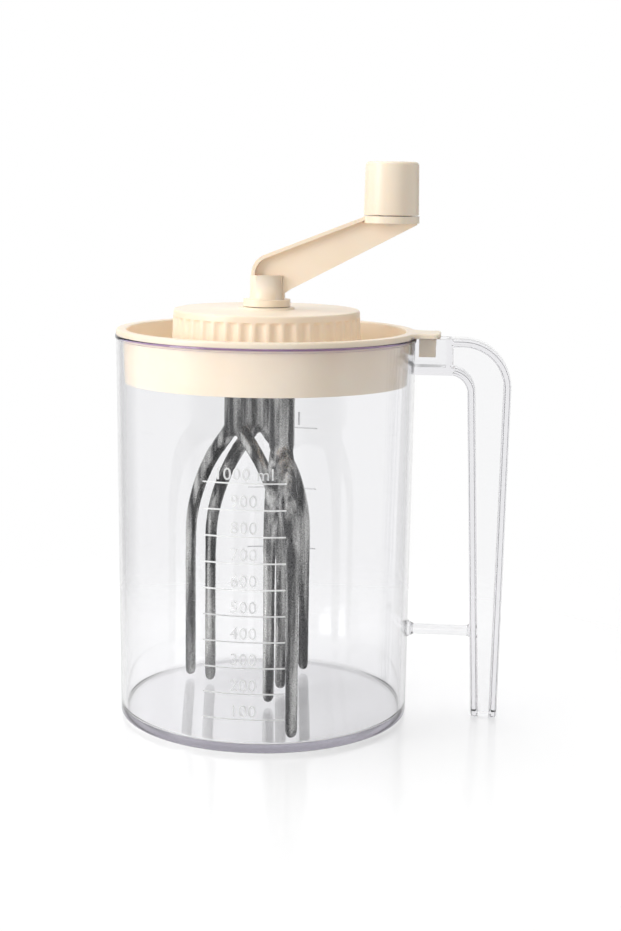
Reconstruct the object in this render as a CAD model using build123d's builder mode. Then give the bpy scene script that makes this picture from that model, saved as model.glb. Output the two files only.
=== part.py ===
from build123d import *
import math
import os

os.makedirs("parts", exist_ok=True)

# Crank mayonnaise mixer jar. Millimetres, +Z up, origin at the centre of the jar's underside.
# The handle points along +X. The litre scale is on the -Y side.

# ---- Driving dimensions: jar ----
jar_height = 153.0
jar_base_radius = 58.3
jar_rim_radius = 59.2
jar_wall = 2.2
jar_floor = 3.0
jar_foot_rounding = 0.8
jar_inside_rounding = 1.6
rim_bead_height = 1.6
rim_bead_proud = 0.5

# ---- Driving dimensions: handle ----
handle_width = 14.0
handle_flange = 3.0
handle_web = 2.2
finger_gap = 20.3
finger_gap_flare = 5.5
handle_depth = 17.5
handle_foot_depth = 10.4
handle_corner_radius = 19.0
handle_inner_corner = 7.0
handle_foot_gap = 1.0
pocket_depth = 11.0
pocket_wall = 2.0
strut_radius = 2.1
strut_height = 35.0
strut_flare = 1.3

# ---- Driving dimensions: lid ----
lid_rim_thickness = 2.1
lid_rim_rounding = 0.8
lid_wall = 1.6
lid_skirt_depth = 18.0
lid_skirt_draft = 0.7
lid_floor_depth = 11.7
lid_floor = 1.8
tab_side = 1.5
tab_overhang = 1.7
tab_corner = 2.5
tab_flare = 5.0
peg_length = 6.5

# ---- Driving dimensions: gear train ----
tooth_module = 1.5
pressure_angle = 25.0
sun_teeth = 12
planet_teeth = 12
planet_count = 3
gear_face = 6.5
tooth_thinning = 0.2
addendum_share = 0.85
dedendum_share = 1.1
flank_steps = 4
tooth_merge = 0.3
ring_wall = 1.0
ring_above_planets = 0.9
sun_shaft_radius = 4.0
shaft_flat_depth = 1.0
planet_pin_radius = 2.5
carrier_rim = 2.5
carrier_thickness = 3.0
carrier_hub_radius = 5.0
carrier_shoulder_radius = 8.0
carrier_square = 6.2
floor_bush_wall = 2.0
floor_bush_flange_width = 2.5
floor_bush_flange = 2.0
cap_bush_wall = 2.2
cap_bush_length = 6.0

# ---- Driving dimensions: fluted drum ----
drum_wall = 3.4
drum_draft = 0.9
cap_roof_height = 9.9
cap_roof = 2.4
cap_edge_rounding = 0.8
cap_shelf_wall = 1.2
cap_bush_seat_wall = 2.0
cap_boss_radius = 11.0
cap_boss_height = 0.9
flute_count = 42
flute_radius = 2.3
flute_depth = 0.8
flute_band_top = 2.6
flute_band_base = 3.0

# ---- Driving dimensions: crank and knob ----
crank_collar_radius = 9.3
crank_collar_height = 2.7
crank_hub_radius = 6.7
crank_hub_height = 12.1
crank_socket_depth = 6.0
crank_throw = 48.4
crank_strip = 1.4
crank_strip_width = 9.0
crank_strip_inset = 1.0
crank_web = 3.2
crank_rise_radius = 8.0
crank_bend_height = 18.1
crank_web_foot_reach = 2.4
crank_web_foot_height = 6.5
crank_web_heel_reach = 0.3
crank_web_heel_height = 5.0
disc_radius = 10.9
disc_thickness = 2.7
disc_height = 33.0
disc_web_inset = 0.8
disc_web_drop = 0.6
knob_base_radius = 10.7
knob_top_radius = 10.3
knob_height = 20.4
knob_rounding = 1.3
knob_pin_radius = 3.0
knob_pin_flange_width = 2.0
knob_pin_flange = 1.0
knob_clip_width = 2.6
knob_clip_thickness = 1.2
knob_plug_thickness = 3.0

# ---- Driving dimensions: beaters and rotor plate ----
tine_circle_radius = 21.4
tine_half_width = 2.4
tine_half_thickness = 2.15
tine_point = 2.4
arm_half_width = 3.2
arm_half_thickness = 3.5
arm_flat_share = 0.45
arm_drop = 52.0
beater_neck = 23.3
beater_shaft_radius = 4.75
beater_nose_rounding = 4.0
left_shaft_distance = 21.9
left_shaft_direction = 132.2
left_turn = -18.2
back_shaft_distance = 27.8
back_shaft_direction = 103.5
back_turn = 28.5
front_shaft_direction = -70.8
rotor_plate_rim = 1.25
rotor_plate_thickness = 4.0
rotor_plate_rounding = 0.6
rotor_pocket_depth = 1.5

# ---- Driving dimensions: screws ----
cap_screw_radius = 1.25
cap_screw_head_radius = 2.4
cap_screw_bite = 4.2
beater_screw_radius = 2.0
beater_screw_head_radius = 3.8
beater_screw_bite = 9.5
rotor_screw_radius = 1.75
rotor_screw_head_radius = 4.6
rotor_screw_head = 2.0
rotor_screw_length = 10.0
crank_screw_radius = 1.75
crank_screw_head_radius = 3.2
crank_screw_head = 2.2
crank_screw_bite = 4.5

# ---- Clearances ----
slip = 0.3
running = 0.05
screw_gap = 0.05
pinch = 0.1
peg_jar_gap = 0.9
peg_side_gap = 0.5
peg_end_gap = 4.1
peg_bottom_gap = 3.8
tine_floor_gap = 1.4
tine_wall_gap = 1.8
cut_margin = 1.0
weld_depth = 0.5

# ---- Levels worked out from the sizes above ----
lid_rim_top = jar_height + lid_rim_thickness
dish_floor_top = lid_rim_top - lid_floor_depth
dish_floor_under = dish_floor_top - lid_floor
skirt_bottom = jar_height - lid_skirt_depth
gear_bottom = dish_floor_top + 2 * slip
gear_top = gear_bottom + gear_face
ring_top = gear_top + ring_above_planets
carrier_bottom = gear_top + slip
carrier_top = carrier_bottom + carrier_thickness
cap_top = jar_height + cap_roof_height
cap_ceiling = cap_top - cap_roof
cap_boss_top = cap_top + cap_boss_height
cap_bush_bottom = cap_boss_top - cap_bush_length
crank_bottom = cap_boss_top + slip
collar_top = crank_bottom + crank_collar_height
hub_top = crank_bottom + crank_hub_height
bend_top = crank_bottom + crank_bend_height
disc_bottom = crank_bottom + disc_height
disc_top = disc_bottom + disc_thickness
knob_bottom = disc_top + slip
knob_top = knob_bottom + knob_height
bush_bottom = dish_floor_under - floor_bush_flange
plate_top = bush_bottom - slip
plate_bottom = plate_top - rotor_plate_thickness
beater_shaft_top = plate_bottom + rotor_pocket_depth
beater_split = plate_bottom - beater_neck
tine_top = beater_split - arm_drop
tine_tip = jar_floor + tine_floor_gap


def jar_outside(height):
    return jar_base_radius + (jar_rim_radius - jar_base_radius) * height / jar_height


def jar_inside(height):
    return jar_outside(height) - jar_wall


# ================= Jar =================

bead_bottom = jar_height - rim_bead_height
bead_radius = jar_rim_radius + rim_bead_proud

with BuildPart() as jar:
    with BuildSketch(Plane.XZ):
        with BuildLine():
            Polyline(
                (0, 0),
                (jar_base_radius, 0),
                (jar_outside(bead_bottom), bead_bottom),
                (bead_radius, bead_bottom),
                (bead_radius, jar_height),
                (jar_inside(jar_height), jar_height),
                (jar_inside(jar_floor), jar_floor),
                (0, jar_floor),
                close=True,
            )
        make_face()
    revolve(axis=Axis.Z)
    fillet(jar.edges().filter_by(GeomType.CIRCLE).group_by(Axis.Z)[0], jar_foot_rounding)
    floor_edge = jar.edges().filter_by(GeomType.CIRCLE).filter_by_position(Axis.Z, jar_floor, jar_floor)
    fillet(floor_edge, jar_inside_rounding)

# ================= Handle, moulded on the jar =================

peg_start = bead_radius + peg_jar_gap
peg_end = peg_start + peg_length
pocket_end = peg_end + peg_end_gap
pocket_floor = jar_height - pocket_depth
pocket_width = handle_width - 2 * pocket_wall
pocket_root = jar_inside(pocket_floor)
inner_top = pocket_floor - handle_flange
inner_reach = jar_rim_radius + finger_gap
inner_foot = inner_reach + finger_gap_flare
outer_reach = inner_reach + handle_depth
outer_foot = inner_foot + handle_foot_depth


def outer_curve(inset):
    """Line of the handle's outer face, moved inwards by the inset."""
    FilletPolyline(
        (pocket_end, jar_height - inset),
        (outer_reach - inset, jar_height - inset),
        (outer_foot - inset, handle_foot_gap),
        radius=handle_corner_radius - inset,
    )


def inner_curve(inset, start):
    """Line of the handle's finger side, moved outwards by the inset."""
    FilletPolyline(
        (inner_foot + inset, handle_foot_gap),
        (inner_reach + inset, inner_top + inset),
        (start, inner_top + inset),
        radius=handle_inner_corner + inset,
    )


with BuildPart() as handle:
    # Outer flange, from the pocket's end over the corner and down to the free end
    with BuildSketch(Plane.XZ):
        with BuildLine():
            outer_curve(0)
            outer_curve(handle_flange)
            Line((pocket_end, jar_height), (pocket_end, jar_height - handle_flange))
            Line((outer_foot, handle_foot_gap), (outer_foot - handle_flange, handle_foot_gap))
        make_face()
    extrude(amount=handle_width / 2, both=True)
    # Inner flange, which is also the pocket's floor
    with BuildSketch(Plane.XZ):
        with BuildLine():
            inner_curve(0, pocket_root)
            inner_curve(handle_flange, pocket_root)
            Line((pocket_root, inner_top), (pocket_root, pocket_floor))
            Line((inner_foot, handle_foot_gap), (inner_foot + handle_flange, handle_foot_gap))
        make_face()
    extrude(amount=handle_width / 2, both=True)
    # Thin web between the flanges
    with BuildSketch(Plane.XZ):
        with BuildLine():
            outer_curve(handle_flange / 2)
            inner_curve(handle_flange / 2, pocket_end)
            Line((pocket_end, inner_top + handle_flange / 2), (pocket_end, jar_height - handle_flange / 2))
            Line(
                (outer_foot - handle_flange / 2, handle_foot_gap),
                (inner_foot + handle_flange / 2, handle_foot_gap),
            )
        make_face()
    extrude(amount=handle_web / 2, both=True)
    # Pocket: end wall and two cheeks, open at the top
    with BuildSketch(Plane.XY.offset(pocket_floor)):
        with Locations((pocket_root, 0)):
            Rectangle(
                pocket_end + pocket_wall - pocket_root,
                handle_width,
                align=(Align.MIN, Align.CENTER),
            )
            Rectangle(
                pocket_end - pocket_root,
                pocket_width,
                align=(Align.MIN, Align.CENTER),
                mode=Mode.SUBTRACT,
            )
    extrude(amount=pocket_depth)
    # Round strut from the jar to the inner flange, flared at both ends
    with BuildSketch(Plane.XZ):
        with BuildLine():
            Polyline(
                (jar_inside(strut_height), strut_height),
                (jar_inside(strut_height), strut_height + strut_radius + strut_flare),
                (jar_outside(strut_height), strut_height + strut_radius + strut_flare),
                (jar_outside(strut_height) + 2 * strut_flare, strut_height + strut_radius),
                (inner_foot - 2 * strut_flare, strut_height + strut_radius),
                (inner_foot, strut_height + strut_radius + strut_flare),
                (inner_foot, strut_height),
                close=True,
            )
        make_face()
    revolve(axis=Axis((0, 0, strut_height), (1, 0, 0)))
    # The jar's own wall is taken away, so that the handle ends on it
    with BuildSketch(Plane.XZ):
        with BuildLine():
            Polyline(
                (0, -cut_margin),
                (jar_outside(-cut_margin), -cut_margin),
                (jar_outside(bead_bottom), bead_bottom),
                (bead_radius, bead_bottom),
                (bead_radius, jar_height + cut_margin),
                (0, jar_height + cut_margin),
                close=True,
            )
        make_face()
    revolve(axis=Axis.Z, mode=Mode.SUBTRACT)

# ================= Lid =================

skirt_top_radius = jar_inside(jar_height) - slip
skirt_bottom_radius = skirt_top_radius - lid_skirt_draft
dish_rim_radius = skirt_top_radius - lid_wall
dish_floor_radius = dish_rim_radius - lid_skirt_draft * lid_floor_depth / lid_skirt_depth
tab_start = dish_rim_radius + lid_wall / 2
tab_reach = peg_end + tab_overhang
peg_bottom = pocket_floor + peg_bottom_gap

ring_teeth = sun_teeth + 2 * planet_teeth
ring_tip = tooth_module * (ring_teeth / 2 - addendum_share)
ring_root = tooth_module * (ring_teeth / 2 + dedendum_share)
cap_screw_hole = cap_screw_radius + screw_gap
cap_screw_circle = ring_root + ring_wall + cap_screw_hole
ring_outer_radius = cap_screw_circle + cap_screw_hole + ring_wall
floor_bush_outside = sun_shaft_radius + running + floor_bush_wall
cap_screw_sink = cap_screw_head_radius - cap_screw_radius
upwards = (Align.CENTER, Align.CENTER, Align.MIN)
downwards = (Align.CENTER, Align.CENTER, Align.MAX)

# The screws stand between the planets
screw_start = 180 / planet_count

with BuildPart() as lid:
    with BuildSketch(Plane.XZ):
        with BuildLine():
            Polyline(
                (0, dish_floor_under),
                (dish_floor_radius, dish_floor_under),
                (skirt_bottom_radius - lid_wall, skirt_bottom),
                (skirt_bottom_radius, skirt_bottom),
                (skirt_top_radius, jar_height),
                (jar_rim_radius, jar_height),
                (jar_rim_radius, lid_rim_top),
                (dish_rim_radius, lid_rim_top),
                (dish_floor_radius, dish_floor_top),
                (0, dish_floor_top),
                close=True,
            )
        make_face()
    revolve(axis=Axis.Z)
    # Tab over the handle's pocket, flared where it leaves the rim
    with BuildSketch(Plane.XY.offset(jar_height + slip)):
        Circle(jar_rim_radius)
        with Locations((tab_start, 0)):
            Rectangle(tab_reach - tab_start, handle_width + 2 * tab_side, align=(Align.MIN, Align.CENTER))
        fillet(vertices().group_by(Axis.X)[-1], tab_corner)
        fillet(vertices().group_by(Axis.X)[0], tab_flare)
        Circle(tab_start, mode=Mode.SUBTRACT)
    extrude(amount=lid_rim_thickness - slip)
    fillet(lid.faces().sort_by(Axis.Z)[-1].edges(), lid_rim_rounding)
    # Peg that stops the lid turning
    with BuildSketch(Plane.XY.offset(peg_bottom)):
        with Locations((peg_start, 0)):
            Rectangle(peg_length, pocket_width - 2 * peg_side_gap, align=(Align.MIN, Align.CENTER))
    extrude(amount=jar_height + slip - peg_bottom)
    # Bore for the floor bush
    with BuildSketch(Plane.XY.offset(dish_floor_under)):
        Circle(floor_bush_outside)
    extrude(amount=lid_floor, mode=Mode.SUBTRACT)
    # Countersunk holes for the drum's screws
    with Locations(Plane.XY.offset(dish_floor_under)):
        with PolarLocations(cap_screw_circle, planet_count, start_angle=screw_start):
            Cylinder(cap_screw_hole, lid_floor, align=upwards, mode=Mode.SUBTRACT)
            Cone(
                cap_screw_head_radius + screw_gap,
                cap_screw_hole,
                cap_screw_sink,
                align=upwards,
                mode=Mode.SUBTRACT,
            )

# ================= Gears =================

planet_orbit = tooth_module * (sun_teeth + planet_teeth) / 2


def involute(angle):
    return math.tan(angle) - angle


def half_tooth(radius, teeth, thinning):
    """Half the angle, in radians, that a tooth takes up at a radius."""
    pitch_radius = tooth_module * teeth / 2
    base_radius = pitch_radius * math.cos(math.radians(pressure_angle))
    there = math.acos(min(1.0, base_radius / radius))
    pitch_half = math.pi / (2 * teeth) - thinning / (2 * pitch_radius)
    return pitch_half + involute(math.radians(pressure_angle)) - involute(there)


def tooth_outline(teeth, inner_radius, outer_radius, thinning):
    """Corner points of one tooth, or of one tooth space where thinning is negative, on the X axis."""
    rise = (outer_radius - inner_radius) / flank_steps
    radii = [inner_radius + rise * step for step in range(flank_steps + 1)]
    flank = [(radius, half_tooth(radius, teeth, thinning)) for radius in radii]
    upper = [(radius * math.cos(angle), radius * math.sin(angle)) for radius, angle in flank]
    lower = [(x, -y) for x, y in reversed(upper)]
    return upper + lower


def tooth_row(teeth, inner_radius, outer_radius, thinning, start_angle, mode=Mode.ADD):
    """Add or cut one ring of teeth in the sketch that calls it."""
    with PolarLocations(0, teeth, start_angle=start_angle):
        Polygon(*tooth_outline(teeth, inner_radius, outer_radius, thinning), align=None, mode=mode)


def pinion(teeth, start_angle):
    """Draw a whole external gear in the sketch that calls it."""
    root = tooth_module * (teeth / 2 - dedendum_share)
    tip = tooth_module * (teeth / 2 + addendum_share)
    Circle(root)
    tooth_row(teeth, root - tooth_merge, tip, tooth_thinning, start_angle)


with BuildPart() as ring_gear:
    with BuildSketch(Plane.XY.offset(dish_floor_top)):
        Circle(ring_outer_radius)
        Circle(ring_tip, mode=Mode.SUBTRACT)
        tooth_row(ring_teeth, ring_tip - tooth_merge, ring_root, -tooth_thinning, 0, mode=Mode.SUBTRACT)
        with PolarLocations(cap_screw_circle, planet_count, start_angle=screw_start):
            Circle(cap_screw_hole, mode=Mode.SUBTRACT)
    extrude(amount=ring_top - dish_floor_top)

with BuildPart() as planet_form:
    with BuildSketch(Plane.XY.offset(gear_bottom)):
        pinion(planet_teeth, 0)
        Circle(planet_pin_radius + running, mode=Mode.SUBTRACT)
    extrude(amount=gear_face)

planets = {}
for planet_index in range(planet_count):
    around = math.radians(360 * planet_index / planet_count)
    planet_place = (planet_orbit * math.cos(around), planet_orbit * math.sin(around), 0)
    with BuildPart() as planet:
        with Locations(Location(planet_place, (0, 0, math.degrees(around)))):
            add(planet_form.part)
    planets["planet_" + "abc"[planet_index]] = planet

# Sun gear with its shaft, which ends in two flats and a tapped hole for the rotor screw
flat_width = 2 * (sun_shaft_radius - shaft_flat_depth)

with BuildPart() as sun_shaft:
    with BuildSketch(Plane.XY.offset(gear_bottom)):
        pinion(sun_teeth, 180 / sun_teeth)
    extrude(amount=gear_face)
    with BuildSketch(Plane.XY.offset(plate_top)):
        Circle(sun_shaft_radius)
    extrude(amount=gear_bottom - plate_top)
    with BuildSketch(Plane.XY.offset(plate_bottom + pinch)):
        Circle(sun_shaft_radius - running)
        Rectangle(2 * sun_shaft_radius, flat_width, mode=Mode.INTERSECT)
    extrude(amount=rotor_plate_thickness - pinch)
    with BuildSketch(Plane.XY.offset(plate_bottom)):
        Circle(rotor_screw_radius + screw_gap)
    extrude(amount=rotor_screw_length + pinch, mode=Mode.SUBTRACT)

with BuildPart() as floor_bush:
    with BuildSketch(Plane.XY.offset(bush_bottom)):
        Circle(floor_bush_outside + floor_bush_flange_width)
        Circle(sun_shaft_radius + running, mode=Mode.SUBTRACT)
    extrude(amount=floor_bush_flange)
    with BuildSketch(Plane.XY.offset(dish_floor_under)):
        Circle(floor_bush_outside)
        Circle(sun_shaft_radius + running, mode=Mode.SUBTRACT)
    extrude(amount=lid_floor + slip)

# ================= Carrier =================

socket_top = crank_bottom + crank_socket_depth

with BuildPart() as carrier:
    with BuildSketch(Plane.XY.offset(carrier_bottom)):
        Circle(planet_orbit + planet_pin_radius + carrier_rim)
        with PolarLocations(planet_orbit, planet_count):
            Circle(planet_pin_radius, mode=Mode.SUBTRACT)
    extrude(amount=carrier_thickness)
    with BuildSketch(Plane.XY.offset(carrier_top)):
        Circle(carrier_shoulder_radius)
    extrude(amount=cap_bush_bottom - slip - carrier_top)
    with BuildSketch(Plane.XY.offset(carrier_top)):
        Circle(carrier_hub_radius)
    extrude(amount=crank_bottom - carrier_top)
    with BuildSketch(Plane.XY.offset(crank_bottom)):
        Rectangle(carrier_square, carrier_square)
    extrude(amount=crank_socket_depth - pinch)
    # The crank's screw comes up from below, with its head sunk in the plate
    with BuildSketch(Plane.XY.offset(carrier_bottom)):
        Circle(crank_screw_radius + screw_gap)
    extrude(amount=socket_top - carrier_bottom, mode=Mode.SUBTRACT)
    with BuildSketch(Plane.XY.offset(carrier_bottom)):
        Circle(crank_screw_head_radius + pinch)
    extrude(amount=crank_screw_head + pinch, mode=Mode.SUBTRACT)

with BuildPart() as planet_pins:
    with BuildSketch(Plane.XY.offset(gear_bottom)):
        with PolarLocations(planet_orbit, planet_count):
            Circle(planet_pin_radius)
    extrude(amount=carrier_top - gear_bottom)

with BuildPart() as crank_screw:
    with BuildSketch(Plane.XY.offset(carrier_bottom + pinch)):
        Circle(crank_screw_head_radius)
    extrude(amount=crank_screw_head)
    with BuildSketch(Plane.XY.offset(carrier_bottom + pinch)):
        Circle(crank_screw_radius)
    extrude(amount=socket_top + crank_screw_bite - carrier_bottom - pinch)

# ================= Fluted drum =================

cavity_radius = ring_outer_radius + pinch
cap_top_radius = cavity_radius + drum_wall
cap_base_radius = cap_top_radius + drum_draft
drum_height = cap_top - dish_floor_top
draft_angle = math.degrees(math.atan2(drum_draft, drum_height))
flute_length = drum_height - flute_band_top - flute_band_base
flute_middle = dish_floor_top + flute_band_base + flute_length / 2
flute_drum_radius = cap_top_radius + drum_draft * (cap_top - flute_middle) / drum_height
shelf_radius = cap_screw_circle - cap_screw_hole - cap_shelf_wall
cap_bush_outside = carrier_hub_radius + running + cap_bush_wall

with BuildPart() as gear_cap:
    with BuildSketch(Plane.XZ):
        with BuildLine():
            Polyline(
                (0, cap_ceiling),
                (shelf_radius, cap_ceiling),
                (shelf_radius, ring_top),
                (cavity_radius, ring_top),
                (cavity_radius, dish_floor_top),
                (cap_base_radius, dish_floor_top),
                (cap_top_radius, cap_top),
                (0, cap_top),
                close=True,
            )
        make_face()
    revolve(axis=Axis.Z)
    fillet(gear_cap.edges().filter_by(GeomType.CIRCLE).group_by(Axis.Z)[-1], cap_edge_rounding)
    with PolarLocations(flute_drum_radius + flute_radius - flute_depth, flute_count):
        with Locations(Location((0, 0, flute_middle), (0, -draft_angle, 0))):
            Cylinder(flute_radius, flute_length, mode=Mode.SUBTRACT)
    # Raised boss outside and bush seat inside
    with BuildSketch(Plane.XY.offset(cap_bush_bottom)):
        Circle(cap_bush_outside + cap_bush_seat_wall)
    extrude(amount=cap_ceiling - cap_bush_bottom)
    with BuildSketch(Plane.XY.offset(cap_top)):
        Circle(cap_boss_radius)
    extrude(amount=cap_boss_height)
    with BuildSketch(Plane.XY.offset(cap_bush_bottom)):
        Circle(cap_bush_outside)
    extrude(amount=cap_bush_length, mode=Mode.SUBTRACT)
    # Tapped holes for the screws from below
    with BuildSketch(Plane.XY.offset(ring_top)):
        with PolarLocations(cap_screw_circle, planet_count, start_angle=screw_start):
            Circle(cap_screw_hole)
    extrude(amount=cap_screw_bite + slip, mode=Mode.SUBTRACT)

with BuildPart() as cap_bush:
    with BuildSketch(Plane.XY.offset(cap_bush_bottom)):
        Circle(cap_bush_outside)
        Circle(carrier_hub_radius + running, mode=Mode.SUBTRACT)
    extrude(amount=cap_bush_length)

with BuildPart() as cap_screws:
    with Locations(Plane.XY.offset(dish_floor_under)):
        with PolarLocations(cap_screw_circle, planet_count, start_angle=screw_start):
            Cone(cap_screw_head_radius, cap_screw_radius, cap_screw_sink, align=upwards)
            Cylinder(cap_screw_radius, ring_top + cap_screw_bite - dish_floor_under, align=upwards)

# ================= Crank =================

rise_x = crank_strip_inset - crank_hub_radius
strip_end = crank_throw - disc_radius + crank_strip
web_end = crank_throw + disc_radius - disc_web_inset


def arm_top_curve():
    """Line of the arm's top face, up from the hub and across to the disc."""
    FilletPolyline(
        (rise_x, hub_top),
        (rise_x, bend_top),
        (strip_end, disc_top),
        radius=crank_rise_radius,
    )


with BuildPart() as crank:
    with BuildSketch(Plane.XY.offset(crank_bottom)):
        Circle(crank_collar_radius)
    extrude(amount=crank_collar_height)
    with BuildSketch(Plane.XY.offset(collar_top)):
        Circle(crank_hub_radius)
    extrude(amount=hub_top - collar_top)
    # Central web, from the hub up to the disc
    with BuildSketch(Plane.XZ):
        with BuildLine():
            arm_top_curve()
            Polyline(
                (strip_end, disc_top),
                (strip_end, disc_bottom + weld_depth),
                (web_end, disc_bottom + weld_depth),
                (web_end, disc_bottom - disc_web_drop),
                (crank_hub_radius + crank_web_foot_reach, crank_bottom + crank_web_foot_height),
                (crank_hub_radius + crank_web_heel_reach, crank_bottom + crank_web_heel_height),
                (crank_hub_radius + crank_web_heel_reach, collar_top),
                (rise_x, hub_top),
            )
        make_face()
    extrude(amount=crank_web / 2, both=True)
    # Strip along the top edge of the web
    with BuildSketch(Plane.XZ):
        with BuildLine():
            arm_top_curve()
            offset(amount=-crank_strip, side=Side.RIGHT)
        make_face()
    extrude(amount=crank_strip_width / 2, both=True)
    with BuildSketch(Plane.XY.offset(disc_bottom)):
        with Locations((crank_throw, 0)):
            Circle(disc_radius)
    extrude(amount=disc_thickness)
    # Square socket with the tapped hole above it, and the pin's hole in the disc
    with BuildSketch(Plane.XY.offset(crank_bottom)):
        Rectangle(carrier_square + 2 * pinch, carrier_square + 2 * pinch)
    extrude(amount=crank_socket_depth, mode=Mode.SUBTRACT)
    with BuildSketch(Plane.XY.offset(socket_top)):
        Circle(crank_screw_radius + screw_gap)
    extrude(amount=crank_screw_bite + pinch, mode=Mode.SUBTRACT)
    with BuildSketch(Plane.XY.offset(disc_bottom)):
        with Locations((crank_throw, 0)):
            Circle(knob_pin_radius)
    extrude(amount=disc_thickness, mode=Mode.SUBTRACT)

# ================= Knob =================

plug_bottom = knob_top - knob_plug_thickness
clip_top = plug_bottom - 2 * slip
clip_bottom = clip_top - knob_clip_thickness
cavity_bottom = clip_bottom - slip
clip_radius = knob_pin_radius + knob_clip_width
cavity_width = clip_radius + 2 * slip
pin_flange_radius = knob_pin_radius + knob_pin_flange_width
knob_plane = Plane(origin=(crank_throw, 0, 0), x_dir=(1, 0, 0), z_dir=(0, -1, 0))

with BuildPart() as knob:
    with BuildSketch(knob_plane):
        with BuildLine():
            Polyline(
                (0, knob_bottom),
                (knob_base_radius, knob_bottom),
                (knob_top_radius, knob_top),
                (0, knob_top),
                close=True,
            )
        make_face()
    revolve(axis=Axis((crank_throw, 0, 0), (0, 0, 1)))
    fillet(knob.edges().filter_by(GeomType.CIRCLE).group_by(Axis.Z)[-1], knob_rounding)
    # Bore for the pin, widened below for its flange and above for its clip
    with BuildSketch(Plane.XY.offset(knob_bottom)):
        with Locations((crank_throw, 0)):
            Circle(knob_pin_radius + running)
    extrude(amount=knob_height, mode=Mode.SUBTRACT)
    with BuildSketch(Plane.XY.offset(knob_bottom)):
        with Locations((crank_throw, 0)):
            Circle(pin_flange_radius + slip)
    extrude(amount=knob_pin_flange, mode=Mode.SUBTRACT)
    with BuildSketch(Plane.XY.offset(cavity_bottom)):
        with Locations((crank_throw, 0)):
            Circle(cavity_width)
    extrude(amount=knob_top - cavity_bottom, mode=Mode.SUBTRACT)

with BuildPart() as knob_plug:
    with BuildSketch(Plane.XY.offset(plug_bottom)):
        with Locations((crank_throw, 0)):
            Circle(cavity_width)
    extrude(amount=knob_plug_thickness)

with BuildPart() as knob_clip:
    with BuildSketch(Plane.XY.offset(clip_bottom)):
        with Locations((crank_throw, 0)):
            Circle(clip_radius)
            Circle(knob_pin_radius, mode=Mode.SUBTRACT)
    extrude(amount=knob_clip_thickness)

with BuildPart() as knob_pin:
    with BuildSketch(Plane.XY.offset(disc_bottom)):
        with Locations((crank_throw, 0)):
            Circle(knob_pin_radius)
    extrude(amount=clip_top + pinch - disc_bottom)
    with BuildSketch(Plane.XY.offset(disc_top)):
        with Locations((crank_throw, 0)):
            Circle(pin_flange_radius)
    extrude(amount=knob_pin_flange)

# ================= Beaters =================

# The front beater stands radially, with its outer tine just clear of the jar where it is narrowest
narrowest_inside = min(jar_inside(0), jar_inside(jar_height))
front_shaft_distance = narrowest_inside - tine_wall_gap - tine_half_width - tine_circle_radius

# Distance of each beater's shaft from the jar's axis, its direction, and the turn of its two tines
beater_places = {
    "beater_left": (left_shaft_distance, left_shaft_direction, left_turn),
    "beater_back": (back_shaft_distance, back_shaft_direction, back_turn),
    "beater_front": (front_shaft_distance, front_shaft_direction, front_shaft_direction),
}

# Stations along one arm, from inside the shaft to the tine: share of the way out, share of the way down
arm_stations = [
    (0.05, -0.12),
    (0.17, 0.03),
    (0.47, 0.2),
    (0.73, 0.4),
    (0.91, 0.62),
    (0.99, 0.84),
    (1.0, 1.0),
]

# Stations of the tine's point: share of the point's length above the tip, share of the section
point_stations = [(1.0, 1.0), (0.33, 0.8), (0.0, 0.4)]


def beater_location(name, height=0.0, turned=True):
    """Place of a beater's shaft at a height, turned with its tines or not."""
    distance, direction, turn = beater_places[name]
    across = distance * math.cos(math.radians(direction))
    deep = distance * math.sin(math.radians(direction))
    return Location((across, deep, height), (0, 0, turn if turned else 0))


def arm_section(side, x, height, lean, half_width, half_thickness):
    """Plane and corners of a six-sided section with a ridge on each edge, square to the arm there."""
    section_plane = Plane(
        origin=(x * side, 0, height),
        x_dir=(math.cos(lean) * side, 0, math.sin(lean)),
        z_dir=(math.sin(lean) * side, 0, -math.cos(lean)),
    )
    flat = arm_flat_share * half_width
    corners = [
        (half_width, 0),
        (flat, half_thickness),
        (-flat, half_thickness),
        (-half_width, 0),
        (-flat, -half_thickness),
        (flat, -half_thickness),
    ]
    return section_plane, corners


def arm_sections(side):
    """Sections from inside the shaft down to the top of one tine."""
    sections = []
    last = len(arm_stations) - 1
    for index, (outward, downward) in enumerate(arm_stations):
        before = arm_stations[max(index - 1, 0)]
        after = arm_stations[min(index + 1, last)]
        run = (after[0] - before[0]) * tine_circle_radius
        fall = (after[1] - before[1]) * arm_drop
        lean = 0.0 if index == last else math.atan2(run, fall)
        wide = arm_half_width + (tine_half_width - arm_half_width) * downward
        thick = arm_half_thickness + (tine_half_thickness - arm_half_thickness) * downward
        height = beater_split - downward * arm_drop
        sections.append(arm_section(side, outward * tine_circle_radius, height, lean, wide, thick))
    return sections


def tine_sections(side):
    """Sections of one straight tine, from its top to its blunt point."""
    stations = [(tine_top, 1.0)]
    stations += [(tine_tip + share * tine_point, section) for share, section in point_stations]
    sections = []
    for height, section in stations:
        wide = section * tine_half_width
        thick = section * tine_half_thickness
        sections.append(arm_section(side, tine_circle_radius, height, 0.0, wide, thick))
    return sections


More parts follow.
